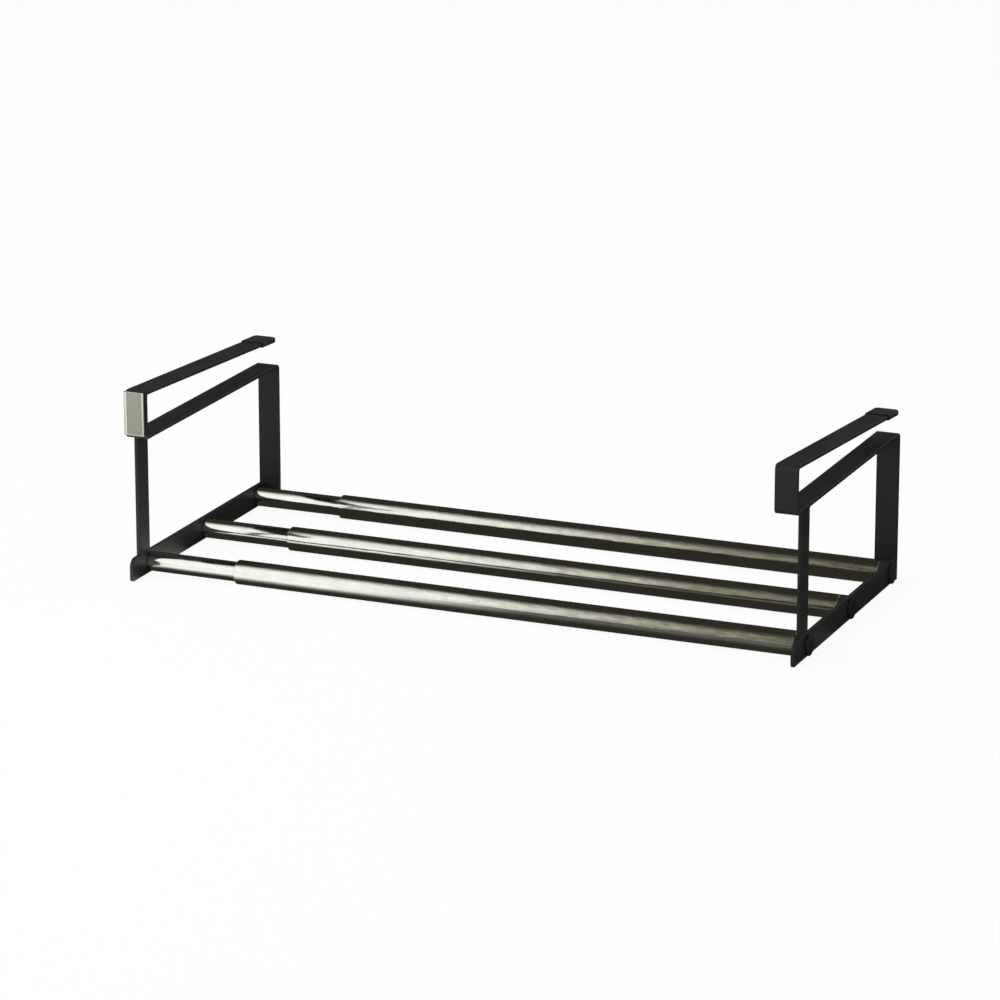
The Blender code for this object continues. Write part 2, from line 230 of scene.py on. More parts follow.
def skin(rings, closed=False):
    """Solid skinned over rings of points, with flat ends or closed into a loop."""
    solid = bmesh.new()
    rows = [[solid.verts.new(point) for point in ring] for ring in rings]
    pairs = list(zip(rows, rows[1:]))
    if closed:
        pairs.append((rows[-1], rows[0]))
    for near, far in pairs:
        for index in range(len(near)):
            solid.faces.new((near[index - 1], near[index], far[index], far[index - 1]))
    if not closed:
        solid.faces.new(rows[0])
        solid.faces.new(rows[-1])
    return solid


def rounded_rectangle(width, height, radius, steps=4):
    """Points of a rectangle with round corners, centred on its own origin."""
    points = []
    for turn, (side_u, side_v) in enumerate(((1, 1), (-1, 1), (-1, -1), (1, -1))):
        centre_u = side_u * (width / 2 - radius)
        centre_v = side_v * (height / 2 - radius)
        for step in range(steps + 1):
            angle = (turn + step / steps) * math.pi / 2
            points.append((centre_u + radius * math.cos(angle), centre_v + radius * math.sin(angle)))
    return points


def bent_path(corners, radius, steps=10):
    """Stations of a line with round bends in the YZ plane, as (point, direction)."""
    first = (corners[1] - corners[0]).normalized()
    stations = [(corners[0], first)]
    for before, corner, after in zip(corners, corners[1:], corners[2:]):
        arriving = (corner - before).normalized()
        leaving = (after - corner).normalized()
        turn = arriving.angle_signed(leaving)
        sideways = Vector((arriving.y, -arriving.x)) * math.copysign(1, turn)
        start = corner - arriving * radius * math.tan(abs(turn) / 2)
        for step in range(steps + 1):
            angle = abs(turn) * step / steps
            along = arriving * math.sin(angle) + sideways * (1 - math.cos(angle))
            direction = arriving * math.cos(angle) + sideways * math.sin(angle)
            stations.append((start + along * radius, direction))
    last = (corners[-1] - corners[-2]).normalized()
    stations.append((corners[-1], last))
    return stations


def soft_end_insets(radius, steps=3):
    """Pairs of (distance from an end, inset of the section there) that round the end off."""
    pairs = []
    for step in range(steps + 1):
        angle = step / steps * math.pi / 2
        pairs.append((radius * (1 - math.cos(angle)), radius * (1 - math.sin(angle))))
    return pairs


def tilted_ring(section, centre_x, place, direction):
    """Section across a line in the YZ plane, at a place where the line has a direction."""
    return [
        (centre_x + across, place.x - direction.y * lift, place.y + direction.x * lift)
        for across, lift in section
    ]


def strip_solid(stations, width, thickness, roll, centre_x):
    """Flat strip with rolled edges along stations in the YZ plane, its two ends rounded off."""
    softened = []
    ends = soft_end_insets(roll * 0.9)
    point, direction = stations[0]
    softened += [(point + direction * reach, direction, inset) for reach, inset in ends]
    softened += [(point, direction, 0) for point, direction in stations[1:-1]]
    point, direction = stations[-1]
    softened += [(point - direction * reach, direction, inset) for reach, inset in reversed(ends)]
    rings = []
    for point, direction, inset in softened:
        section = rounded_rectangle(width - 2 * inset, thickness - 2 * inset, roll * 1.01 - inset)
        rings.append(tilted_ring(section, centre_x, point, direction))
    return skin(rings)


def turned_solid(profile, start, inward, centre, segments=96, closed=True):
    """Solid turned about a line along X, from a profile of (distance, radius, hexagonal)."""
    rings = []
    for distance, radius, hexagonal in profile:
        ring = []
        for index in range(segments):
            angle = math.tau * index / segments
            reach = radius
            if hexagonal:
                reach = radius / math.cos(angle % (math.pi / 3) - math.pi / 6)
            ring.append(
                (
                    start + inward * distance,
                    centre[0] + reach * math.cos(angle),
                    centre[1] + reach * math.sin(angle),
                )
            )
        rings.append(ring)
    solid = skin(rings, closed)
    bmesh.ops.remove_doubles(solid, verts=solid.verts, dist=SAME_POINT)
    bmesh.ops.dissolve_degenerate(solid, edges=solid.edges, dist=SAME_POINT)
    return solid


def arc(centre, radius, first, last, steps=4):
    """Profile points of an arc, its angles in degrees from along the axis to outwards."""
    points = []
    for step in range(steps + 1):
        angle = math.radians(first + (last - first) * step / steps)
        points.append(
            (centre[0] + radius * math.cos(angle), centre[1] + radius * math.sin(angle), False)
        )
    return points


def ring_profile(length_along, outside, bore, edge):
    """Profile of a tube or ring whose ends are rounded on both their edges."""
    return [
        *arc((edge, bore + edge), edge, 270, 180),
        *arc((edge, outside - edge), edge, 180, 90),
        *arc((length_along - edge, outside - edge), edge, 90, 0),
        *arc((length_along - edge, bore + edge), edge, 0, -90),
    ]


def centre_line(node):
    low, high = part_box(node)
    return ((low.y + high.y) / 2, (low.z + high.z) / 2)


def outer_radius(node):
    low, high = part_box(node)
    return (high.y - low.y) / 2


def ends_along(node, side):
    """Start and length of a round piece, counted inwards from its own side."""
    low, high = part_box(node)
    start = low.x if side == "left" else high.x
    return start, high.x - low.x


def arm_slope(side):
    """Fall of a top arm, as the record's mount under its cap gives it."""
    for mount in frame["record"]["mounts"]:
        if mount["name"] == "tip_cap_underside_" + side:
            return math.asin(-mount["axis"][1])
    raise RuntimeError("the record has no mount under the cap of the hook at the " + side)


# Materials


def add(tree, kind, inputs=None, **settings):
    """Adds a node; an input is given as a value or as the output that it is linked to."""
    node = tree.nodes.new("ShaderNode" + kind)
    for name, value in settings.items():
        setattr(node, name, value)
    for name, value in (inputs or {}).items():
        if isinstance(value, bpy.types.NodeSocket):
            tree.links.new(value, node.inputs[name])
        else:
            node.inputs[name].default_value = value
    return node


def start_material(name):
    """New material with its node tree, its surface and the place on the piece."""
    made = bpy.data.materials.new(name)
    made.use_nodes = True
    tree = made.node_tree
    place = add(tree, "TexCoord").outputs["Object"]
    return made, tree, tree.nodes["Principled BSDF"], place


def dress(tree, shader, tone, gloss, relief):
    """Gives a surface its colour, its roughness and its relief."""
    tree.links.new(tone.outputs[2], shader.inputs["Base Color"])
    tree.links.new(gloss.outputs["Result"], shader.inputs["Roughness"])
    tree.links.new(relief.outputs["Normal"], shader.inputs["Normal"])


def opaque(rgb):
    return (*rgb, 1)


def powder_coated_steel():
    """Mild steel strip under baked black polyester powder: a satin skin with fine orange peel."""
    found = bpy.data.materials.get("powder_coated_steel")
    if found:
        return found
    finishes = bpy.context.scene.rack_finishes
    made, tree, shader, place = start_material("powder_coated_steel")
    # Orange peel is about 1 mm from crest to crest, and is drawn 1.6 mm so that it shows
    peel = add(tree, "TexNoise", {"Vector": place, "Scale": 1 / (1.6 * MM), "Detail": 2.0})
    # The powder lies a little thicker and thinner over stretches of 30 mm
    drift = add(tree, "TexNoise", {"Vector": place, "Scale": 1 / (30 * MM), "Detail": 3.0})
    tone = add(
        tree,
        "Mix",
        {0: drift.outputs["Fac"], 6: opaque(finishes.paint), 7: opaque(finishes.paint_thin)},
        data_type="RGBA",
    )
    satin = add(
        tree,
        "MapRange",
        {"Value": drift.outputs["Fac"], **NOISE_SPAN, "To Min": 0.42, "To Max": 0.56},
    )
    skin_relief = add(
        tree,
        "Bump",
        {"Height": peel.outputs["Fac"], "Distance": 0.02 * MM, "Strength": 0.6},
    )
    dress(tree, shader, tone, satin, skin_relief)
    shader.inputs["Specular IOR Level"].default_value = 0.35
    return made


def chrome_plated_tube():
    """Drawn steel tube, polished and chrome plated: a mirror with faint marks along its length."""
    found = bpy.data.materials.get("chrome_plated_tube")
    if found:
        return found
    finishes = bpy.context.scene.rack_finishes
    made, tree, shader, place = start_material("chrome_plated_tube")
    # Polishing marks run 50 mm along the tube and lie about 0.5 mm apart
    drawn_scale = (1 / (50 * MM), 1 / (0.5 * MM), 1 / (0.5 * MM))
    stretched = add(tree, "Mapping", {"Vector": place, "Scale": drawn_scale})
    marks = add(tree, "TexNoise", {"Vector": stretched.outputs["Vector"], "Scale": 1.0, "Detail": 3.0})
    # A handling haze comes and goes over some 14 mm
    haze = add(tree, "TexNoise", {"Vector": place, "Scale": 1 / (14 * MM), "Detail": 4.0})
    tone = add(
        tree,
        "Mix",
        {0: haze.outputs["Fac"], 6: opaque(finishes.chrome), 7: opaque(finishes.chrome_haze)},
        data_type="RGBA",
    )
    gloss = add(
        tree,
        "MapRange",
        {"Value": marks.outputs["Fac"], **NOISE_SPAN, "To Min": 0.07, "To Max": 0.17},
    )
    # The drawn wall is not quite true: low waves 35 mm long and 5 mm wide
    wave_scale = (1 / (35 * MM), 1 / (5 * MM), 1 / (5 * MM))
    drawn = add(tree, "Mapping", {"Vector": place, "Scale": wave_scale})
    wave = add(tree, "TexNoise", {"Vector": drawn.outputs["Vector"], "Scale": 1.0, "Detail": 2.0})
    waviness = add(
        tree,
        "Bump",
        {"Height": wave.outputs["Fac"], "Distance": 0.35 * MM, "Strength": 0.6},
    )
    relief = add(
        tree,
        "Bump",
        {
            "Height": marks.outputs["Fac"],
            "Distance": 0.004 * MM,
            "Strength": 0.5,
            "Normal": waviness.outputs["Normal"],
        },
    )
    dress(tree, shader, tone, gloss, relief)
    shader.inputs["Metallic"].default_value = 1.0
    return made


def brushed_steel(name, rgb, roughest, smoothest):
    """Stainless sheet brushed up and down: short bright hairlines on a satin grey."""
    found = bpy.data.materials.get(name)
    if found:
        return found
    made, tree, shader, place = start_material(name)
    # Hairlines are about 0.1 mm apart and 12 mm long, and are drawn 0.4 mm apart so that they show
    brush_scale = (1 / (0.4 * MM), 1 / (0.4 * MM), 1 / (12 * MM))
    stretched = add(tree, "Mapping", {"Vector": place, "Scale": brush_scale})
    hairs = add(tree, "TexNoise", {"Vector": stretched.outputs["Vector"], "Scale": 1.0, "Detail": 4.0})
    darker = [part * 0.86 for part in rgb]
    tone = add(
        tree,
        "Mix",
        {0: hairs.outputs["Fac"], 6: opaque(darker), 7: opaque(rgb)},
        data_type="RGBA",
    )
    gloss = add(
        tree,
        "MapRange",
        {"Value": hairs.outputs["Fac"], **NOISE_SPAN, "To Min": smoothest, "To Max": roughest},
    )
    relief = add(
        tree,
        "Bump",
        {"Height": hairs.outputs["Fac"], "Distance": 0.01 * MM, "Strength": 0.5},
    )
    dress(tree, shader, tone, gloss, relief)
    shader.inputs["Metallic"].default_value = 1.0
    return made


def grained(name, colour_name, grain, depth, roughness, metallic=0.0):
    """Evenly grained surface: its grain's size and depth, and how rough it looks."""
    found = bpy.data.materials.get(name)
    if found:
        return found
    made, tree, shader, place = start_material(name)
    rgb = getattr(bpy.context.scene.rack_finishes, colour_name)
    grains = add(tree, "TexNoise", {"Vector": place, "Scale": 1 / grain, "Detail": 3.0})
    drift = add(tree, "TexNoise", {"Vector": place, "Scale": 1 / (grain * 12), "Detail": 2.0})
    darker = [part * 0.8 for part in rgb]
    tone = add(
        tree,
        "Mix",
        {0: drift.outputs["Fac"], 6: opaque(darker), 7: opaque(rgb)},
        data_type="RGBA",
    )
    gloss = add(
        tree,
        "MapRange",
        {
            "Value": grains.outputs["Fac"],
            **NOISE_SPAN,
            "To Min": roughness - 0.05,
            "To Max": roughness + 0.07,
        },
    )
    relief = add(tree, "Bump", {"Height": grains.outputs["Fac"], "Distance": depth, "Strength": 0.7})
    dress(tree, shader, tone, gloss, relief)
    shader.inputs["Metallic"].default_value = metallic
    return made


def moulded_nylon():
    """Black nylon, injection moulded in a spark-eroded tool: an even dull grain."""
    return grained("moulded_nylon", "nylon", 0.5 * MM, 0.02 * MM, 0.55)


def turned_acetal():
    """White acetal, turned: a waxy surface with hardly any grain."""
    return grained("turned_acetal", "acetal", 0.8 * MM, 0.005 * MM, 0.38)


def dipped_vinyl():
    """Soft black vinyl, dip moulded: dull and slightly uneven."""
    return grained("dipped_vinyl", "vinyl", 1.5 * MM, 0.05 * MM, 0.62)


def black_oxide_steel():
    """Bolt steel, blackened in a hot bath: dark, half dull, with the metal showing through."""
    return grained("black_oxide_steel", "oxide", 0.6 * MM, 0.01 * MM, 0.55, 0.3)


def foam_tape():
    """Closed-cell foam of the adhesive pad: open cut cells along its edge."""
    return grained("foam_tape", "foam", 0.9 * MM, 0.15 * MM, 0.85)


# Side frames


def painted_piece(name, solid, side, node):
    """Powder-coated piece of a side frame."""
    weighted(piece(name, solid, BODIES[side], powder_coated_steel(), node))


def front_corner(side, sizes):
    """Where the top arm's upper face would meet the drop's front face with no bend, (y, z)."""
    low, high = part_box("hook_strap_" + side)
    slope = arm_slope(side)
    outside = sizes.bend + sizes.strip
    return low.y, high.z + outside * (math.tan(slope) + 1 / math.cos(slope) - 1)


def cap_axes(side):
    """Centre (y, z), slope, length and thickness of a tip cap, from its box."""
    low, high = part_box("tip_cap_" + side)
    slope = arm_slope(side)
    run = high.y - low.y
    fall = high.z - low.z
    spread = math.cos(slope) ** 2 - math.sin(slope) ** 2
    long_side = (run * math.cos(slope) - fall * math.sin(slope)) / spread
    thickness = (fall * math.cos(slope) - run * math.sin(slope)) / spread
    return Vector(((low.y + high.y) / 2, (low.z + high.z) / 2)), slope, long_side, thickness


def lower_arm_underside(side, sizes):
    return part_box("front_post_" + side)[1].z + sizes.joint_gap


class RACK_OT_hooks(bpy.types.Operator):
    """Two hooks, each bent from one flat strip: top arm, drop, lower arm and back leg"""

    bl_idname = "shoe_rack.hooks"
    bl_label = "Hooks"

    def execute(self, context):
        sizes = context.scene.rack_sizes
        half = sizes.strip / 2
        for side in BODIES:
            node = "hook_strap_" + side
            low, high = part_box(node)
            front, top = front_corner(side, sizes)
            centre, slope, long_side, _ = cap_axes(side)
            along = Vector((math.cos(slope), -math.sin(slope)))
            tip = centre + along * (long_side / 2 - sizes.cap_end - sizes.joint_gap)
            level = lower_arm_underside(side, sizes) + half
            corners = [
                tip,
                Vector((front + half, top - half * (math.tan(slope) + 1 / math.cos(slope)))),
                Vector((front + half, level)),
                Vector((high.y - half, level)),
                Vector((high.y - half, low.z)),
            ]
            stations = bent_path(corners, sizes.bend + half)
            width = high.x - low.x
            solid = strip_solid(stations, width, sizes.strip, sizes.strip_roll, (low.x + high.x) / 2)
            painted_piece("bent_hook_" + side, solid, side, node)
        return {"FINISHED"}


def corner_arc(corner, before, after, radius, steps=8):
    """Points that round an outline's corner between its two neighbours."""
    stations = bent_path([before, corner, after], radius, steps)[1:-1]
    return [point for point, _ in stations]


def edge_loop(solid, points, x):
    verts = [solid.verts.new((x, point[0], point[1])) for point in points]
    return [solid.edges.new((verts[index - 1], verts[index])) for index in range(len(verts))]


def plate_with_holes(outline, holes, x_low, x_high, roll):
    """Flat plate in the YZ plane with round holes, all its edges rolled."""
    solid = bmesh.new()
    edges = edge_loop(solid, outline, x_low)
    for centre, radius in holes:
        circle = [
            (centre[0] + radius * math.cos(angle), centre[1] + radius * math.sin(angle))
            for angle in (math.tau * step / 32 for step in range(32))
        ]
        edges += edge_loop(solid, circle, x_low)
    bmesh.ops.triangle_fill(solid, edges=edges, use_beauty=True)
    pushed = bmesh.ops.extrude_face_region(solid, geom=list(solid.faces))
    top = [item for item in pushed["geom"] if isinstance(item, bmesh.types.BMVert)]
    bmesh.ops.translate(solid, verts=top, vec=(x_high - x_low, 0, 0))
    bmesh.ops.recalc_face_normals(solid, faces=solid.faces)
    rims = [edge for edge in solid.edges if edge.calc_face_angle(0) > math.radians(60)]
    bmesh.ops.bevel(solid, geom=rims, offset=roll, segments=3, profile=0.5, affect="EDGES")
    return solid


class RACK_OT_base_bars(bpy.types.Operator):
    """Two flat bars on edge, drilled for the bolts of the three tubes"""

    bl_idname = "shoe_rack.base_bars"
    bl_label = "Base Bars"

    def execute(self, context):
        sizes = context.scene.rack_sizes
        for side in BODIES:
            node = "base_bar_" + side
            low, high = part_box(node)
            foot = Vector((low.y, low.z))
            nose = Vector((low.y, high.z))
            foot_rear = Vector((high.y, low.z))
            top_rear = Vector((high.y, high.z))
            outline = [
                *corner_arc(foot, foot_rear, nose, sizes.bar_toe),
                *corner_arc(nose, foot, top_rear, sizes.bar_nose),
                top_rear,
                foot_rear,
            ]
            holes = [(centre_line(f"bolt_{side}_{row}"), sizes.bolt_hole) for row in ROWS]
            solid = plate_with_holes(outline, holes, low.x, high.x, sizes.strip_roll * 0.6)
            painted_piece("drilled_bar_" + side, solid, side, node)
        return {"FINISHED"}


class RACK_OT_posts(bpy.types.Operator):
    """Two short uprights between the base bars and the lower arms"""

    bl_idname = "shoe_rack.posts"
    bl_label = "Front Posts"

    def execute(self, context):
        sizes = context.scene.rack_sizes
        for side in BODIES:
            node = "front_post_" + side
            low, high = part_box(node)
            middle = (low + high) / 2
            span = high - low
            ends = soft_end_insets(sizes.strip_roll * 0.5)
            levels = [(low.z + reach, inset) for reach, inset in ends]
            levels += [(high.z - reach, inset) for reach, inset in reversed(ends)]
            rings = []
            for level, inset in levels:
                section = rounded_rectangle(
                    span.x - 2 * inset, span.y - 2 * inset, sizes.strip_roll * 1.01 - inset
                )
                rings.append([(middle.x + u, middle.y + v, level) for u, v in section])
            painted_piece("flat_post_" + side, skin(rings), side, node)
        return {"FINISHED"}


def weld_bead(start, end, out, side_way, out_reach, side_reach, sweep, ripple):
    """Rippled bead along a joint: an arc of sweep degrees from out to side_way, drawn along it."""
    run = (end - start).length
    along = (end - start).normalized()
    steps = max(8, int(run / ripple * 6))
    turns = 8
    rings = []
    for step in range(steps + 1):
        share = step / steps
        taper = min(1, math.sqrt(min(share, 1 - share) * run / (out_reach * 1.5)) + 0.25)
        swell = taper * (1 + 0.08 * math.sin(math.tau * share * run / ripple))
        middle = start + along * run * share
        ring = [middle - out * 0.1 * MM]
        for turn in range(turns + 1):
            angle = math.radians(sweep[0] + (sweep[1] - sweep[0]) * turn / turns)
            reach = out * out_reach * math.cos(angle) + side_way * side_reach * math.sin(angle)
            ring.append(middle + reach * swell)
        rings.append(ring)
    return skin(rings)


class RACK_OT_welds(bpy.types.Operator):
    """Weld beads at the posts' ends and where the bars meet the back legs"""

    bl_idname = "shoe_rack.welds"
    bl_label = "Welds"

    def execute(self, context):
        sizes = context.scene.rack_sizes
        leg = sizes.weld
        for side in BODIES:
            inward = Vector((INWARD[side], 0, 0))
            up = Vector((0, 0, 1))
            rear = Vector((0, 1, 0))
            post_low, post_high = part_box("front_post_" + side)
            bar_low, bar_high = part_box("base_bar_" + side)
            inner_x = post_high.x if side == "left" else post_low.x
            outer_x = post_low.x if side == "left" else post_high.x
            near = post_low.y + leg
            far = post_high.y - leg
            under_arm = lower_arm_underside(side, sizes)
            seam = bar_high.z + sizes.joint_gap / 2
            leg_face = bar_high.y + sizes.joint_gap
            beads = {}
            for face, x, out in (("inner", inner_x, inward), ("outer", outer_x, -inward)):
                beads["weld_head_" + face] = weld_bead(
                    Vector((x, near, under_arm)),
                    Vector((x, far, under_arm)),
                    out, -up, leg, leg, (0, 90), sizes.weld_ripple,
                )
                beads["weld_foot_" + face] = weld_bead(
                    Vector((x, near, seam)),
                    Vector((x, far, seam)),
                    out, up, leg * 0.35, leg * 0.9, (-90, 90), sizes.weld_ripple,
                )
                beads["weld_leg_" + face] = weld_bead(
                    Vector((x, leg_face, bar_low.z + leg)),
                    Vector((x, leg_face, bar_high.z - leg)),
                    out, -rear, leg, leg, (0, 90), sizes.weld_ripple,
                )
            for name, solid in beads.items():
                finish = powder_coated_steel()
                piece(f"{name}_{side}", solid, BODIES[side], finish)
        return {"FINISHED"}


class RACK_OT_tip_caps(bpy.types.Operator):
    """Soft caps slipped over the tips of the top arms"""

    bl_idname = "shoe_rack.tip_caps"
    bl_label = "Tip Caps"

    def execute(self, context):
        sizes = context.scene.rack_sizes
        for side in BODIES:
            node = "tip_cap_" + side
            low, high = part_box(node)
            centre, slope, long_side, thickness = cap_axes(side)
            along = Vector((math.cos(slope), -math.sin(slope)))
            width = high.x - low.x
            corner = sizes.cap_corner
            edge = sizes.cap_edge
            distances = [edge * (1 - math.cos(step / 6 * math.pi / 2)) for step in range(1, 7)]
            distances += [edge + (corner - edge) * step / 5 for step in range(1, 6)]
            distances.append(long_side)
            rings = []
            for distance in distances:
                short = max(0, corner - distance)
                narrowed = corner - math.sqrt(corner ** 2 - short ** 2)
                blunt = max(0, edge - distance)
                thinned = edge - math.sqrt(edge ** 2 - blunt ** 2)
                section = rounded_rectangle(
                    width - 2 * narrowed, thickness - 2 * thinned, edge - thinned * 0.99
                )
                place = centre + along * (long_side / 2 - distance)
                rings.append(tilted_ring(section, (low.x + high.x) / 2, place, along))
            solid = skin(rings)
            open_end = max(solid.faces, key=lambda face: -face.calc_center_median().y)
            bmesh.ops.delete(solid, geom=[open_end], context="FACES_ONLY")
            name = "dipped_cap_" + side
            cap = piece(name, solid, BODIES[side], dipped_vinyl(), node, 50)
            wall = cap.modifiers.new("wall", "SOLIDIFY")
            wall.thickness = sizes.cap_wall
            wall.offset = -1
        return {"FINISHED"}


# Cover plate


def rim_height(distance, width, rise):
    """Height of a rounded rim over the plate's face, from its outer edge inwards."""
    share = min(1, distance / width)
    return rise * math.sqrt(max(0, 1 - share ** 3)) if share < 1 else 0


def edge_drop(distance, radius):
    """How far a rounded outer edge lies below the rim's crest."""
    short = max(0, radius - distance)
    return radius - math.sqrt(radius ** 2 - short ** 2)


class RACK_OT_cover_plate(bpy.types.Operator):
    """Bare satin cover plate with raised rims, and the foam pad behind it"""

    bl_idname = "shoe_rack.cover_plate"
    bl_label = "Cover Plate"

    def execute(self, context):
        sizes = context.scene.rack_sizes
        finishes = context.scene.rack_finishes
        low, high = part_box("front_plate")
        width = high.x - low.x
        height = high.z - low.z
        rounding = 0.55 * MM
        crest = high.y - low.y
        face = crest - sizes.rim_rise

        def spread(total, rim):
            """Places across the plate, close together on its rims."""
            fine = [rim * step / 14 for step in range(14)]
            inner = [rim + (total - 2 * rim) * step / 10 for step in range(11)]
            return fine + inner + [total - place for place in reversed(fine)]

        across = spread(width, sizes.rim_width)
        upward = spread(height, sizes.end_rim)
        solid = bmesh.new()
        front = []
        for z in upward:
            row = []
            for x in across:
                from_side = min(x, width - x)
                from_end = min(z, height - z)
                rise = max(
                    rim_height(from_side, sizes.rim_width, sizes.rim_rise),
                    rim_height(from_end, sizes.end_rim, sizes.rim_rise),
                )
                depth = face + rise
                depth -= max(edge_drop(from_side, rounding), edge_drop(from_end, rounding))
                row.append(solid.verts.new((low.x + x, high.y - depth, low.z + z)))
            front.append(row)
        rim_faces = []
        for lower, upper, z in zip(front, front[1:], upward):
            for index in range(len(across) - 1):
                made = solid.faces.new(
                    (lower[index], lower[index + 1], upper[index + 1], upper[index])
                )
                middle = (across[index] + across[index + 1]) / 2
                on_side_rim = min(middle, width - middle) < sizes.rim_width
                on_end_rim = min(z, height - z) < sizes.end_rim * 0.98
                if on_side_rim or on_end_rim:
                    rim_faces.append(made)
        border = front[0] + [row[-1] for row in front[1:-1]] + front[-1][::-1]
        border += [row[0] for row in front[-2:0:-1]]
        back = [solid.verts.new((vert.co.x, high.y, vert.co.z)) for vert in border]
        for index in range(len(border)):
            rim_faces.append(
                solid.faces.new((border[index - 1], border[index], back[index], back[index - 1]))
            )
        solid.faces.new(back)
        for made in rim_faces:
            made.material_index = 1
        satin = brushed_steel("brushed_steel_face", finishes.plate, 0.42, 0.34)
        plate = piece("satin_plate", solid, "left_half", satin, "front_plate", 40)
        plate.data.materials.append(brushed_steel("bright_steel_rim", finishes.plate_rim, 0.3, 0.22))

        low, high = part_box("plate_pad")
        middle = (low + high) / 2
        cut_corner = 0.25 * MM
        section = rounded_rectangle(high.x - low.x, high.y - low.y, cut_corner, 2)
        rings = [[(middle.x + u, middle.y + v, z) for u, v in section] for z in (low.z, high.z)]
        piece("foam_pad", skin(rings), "left_half", foam_tape(), "plate_pad")
        return {"FINISHED"}


# Tubes and their fittings


def round_piece(name, profile, node, side, body, finish, closed=True, sharp=35):
    start, _ = ends_along(node, side)
    solid = turned_solid(profile, start, INWARD[side], centre_line(node), closed=closed)
    weighted(piece(name, solid, body, finish, node, sharp))


class RACK_OT_tubes(bpy.types.Operator):
    """Three thick tubes and the three thin tubes that slide in them"""

    bl_idname = "shoe_rack.tubes"
    bl_label = "Tubes"

    def execute(self, context):
        sizes = context.scene.rack_sizes
        for kind, side in (("outer", "right"), ("inner", "left")):
            for row in ROWS:
                node = f"{kind}_tube_{row}"
                _, long_side = ends_along(node, side)
                outside = outer_radius(node)
                bore = outside - sizes.tube_wall
                profile = ring_profile(long_side, outside, bore, sizes.tube_roll)
                name = f"chromed_{kind}_tube_{row}"
                finish = chrome_plated_tube()
                round_piece(name, profile, node, side, BODIES[side], finish)
        return {"FINISHED"}


class RACK_OT_fittings(bpy.types.Operator):
    """Plastic collars, guide bushes, sleeves and plugs of the tubes"""

    bl_idname = "shoe_rack.fittings"
    bl_label = "Tube Fittings"

    def execute(self, context):
        sizes = context.scene.rack_sizes
        edge = sizes.plastic_edge
        bush_edge = 0.15 * MM
        sleeve_edge = 0.2 * MM
        hole = sizes.bolt_hole
        for row in ROWS:
            node = "end_holder_" + row
            _, long_side = ends_along(node, "right")
            outside = outer_radius(node)
            tube_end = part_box("outer_tube_" + row)[1].x
            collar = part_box(node)[1].x - tube_end - sizes.joint_gap
            spigot = outside - sizes.tube_wall - sizes.joint_gap
            profile = [
                (0, hole, False),
                *arc((edge, outside - edge), edge, 180, 90),
                *arc((collar - edge, outside - edge), edge, 90, 0),
                (collar, spigot, False),
                *arc((long_side - edge, spigot - edge), edge, 90, 0),
                (long_side, hole, False),
            ]
            name = "moulded_collar_" + row
            round_piece(name, profile, node, "right", "right_half", moulded_nylon())

            bore = outer_radius("inner_tube_" + row) + sizes.joint_gap
            nylon = (moulded_nylon(), "black_nylon")
            acetal = (turned_acetal(), "white_acetal")
            inside = (
                ("mouth_bush_", "guide_bush_", bore, bush_edge, "right_half", nylon),
                ("end_sleeve_", "sliding_sleeve_", bore, sleeve_edge, "left_half", acetal),
                ("tube_plug_", "moulded_plug_", hole, edge, "left_half", nylon),
            )
            for kind, name, opening, rounding, body, (finish, slot) in inside:
                node = kind + row
                _, long_side = ends_along(node, "left")
                profile = ring_profile(long_side, outer_radius(node), opening, rounding)
                round_piece(name + row, profile, node, "left", body, finish)
        return {"FINISHED"}


class RACK_OT_bolts(bpy.types.Operator):
    """Flat-headed bolts with hexagon sockets, three at each end"""

    bl_idname = "shoe_rack.bolts"
    bl_label = "Bolts"

    def execute(self, context):
        sizes = context.scene.rack_sizes
        head = sizes.bolt_head
        edge = sizes.bolt_edge
        flat = sizes.socket / 2
        shank = sizes.bolt_shank
        for side in BODIES:
            for row in ROWS:
                node = f"bolt_{side}_{row}"
                _, long_side = ends_along(node, side)
                rim = outer_radius(node)
                profile = [
                    (sizes.socket_depth, 0, False),
                    (sizes.socket_depth, flat, True),
                    (edge / 4, flat, True),
                    (0, flat + edge / 4, True),
                    *arc((edge, rim - edge), edge, 180, 90),
                    (head, rim, False),
                    (head, shank, False),
                    (long_side - edge, shank, False),
                    (long_side, shank - edge, False),
                    (long_side, 0, False),
                ]
                name = f"black_bolt_{side}_{row}"
                body = BODIES[side]
                finish = black_oxide_steel()
                round_piece(name, profile, node, side, body, finish, closed=False)
        return {"FINISHED"}


# Stage


def stage_object(name, mesh, finish):
    """Object of the stage, which is not part of the rack."""
    mesh.materials.append(finish)
    obj = bpy.data.objects.new(name, mesh)
    bpy.context.scene.collection.objects.link(obj)
    return obj


def square_sheet(name, reach, height):
    """Mesh of a level square sheet round the stage's middle."""
    turns = ((-1, -1), (1, -1), (1, 1), (-1, 1))
    corners = [(side_x * reach, side_y * reach, height) for side_x, side_y in turns]
    mesh = bpy.data.meshes.new(name)
    mesh.from_pydata(corners, [], [(0, 1, 2, 3)])
    return mesh


def mirrored_only(obj):
    """Leaves a stage object to reflections alone."""
    for ray in ("camera", "diffuse", "transmission", "volume_scatter", "shadow"):
        setattr(obj, "visible_" + ray, False)


def glowing_cloth(name):
    """New material that glows by itself, with its tree, its glow and the place on the cloth."""
    made = bpy.data.materials.new(name)
    made.use_nodes = True
    made.cycles.emission_sampling = "NONE"
    tree = made.node_tree
    tree.nodes.remove(tree.nodes["Principled BSDF"])
    glow = add(tree, "Emission")
    tree.links.new(glow.outputs[0], tree.nodes["Material Output"].inputs["Surface"])
    place = add(tree, "TexCoord").outputs["Object"]
    return made, tree, glow, place


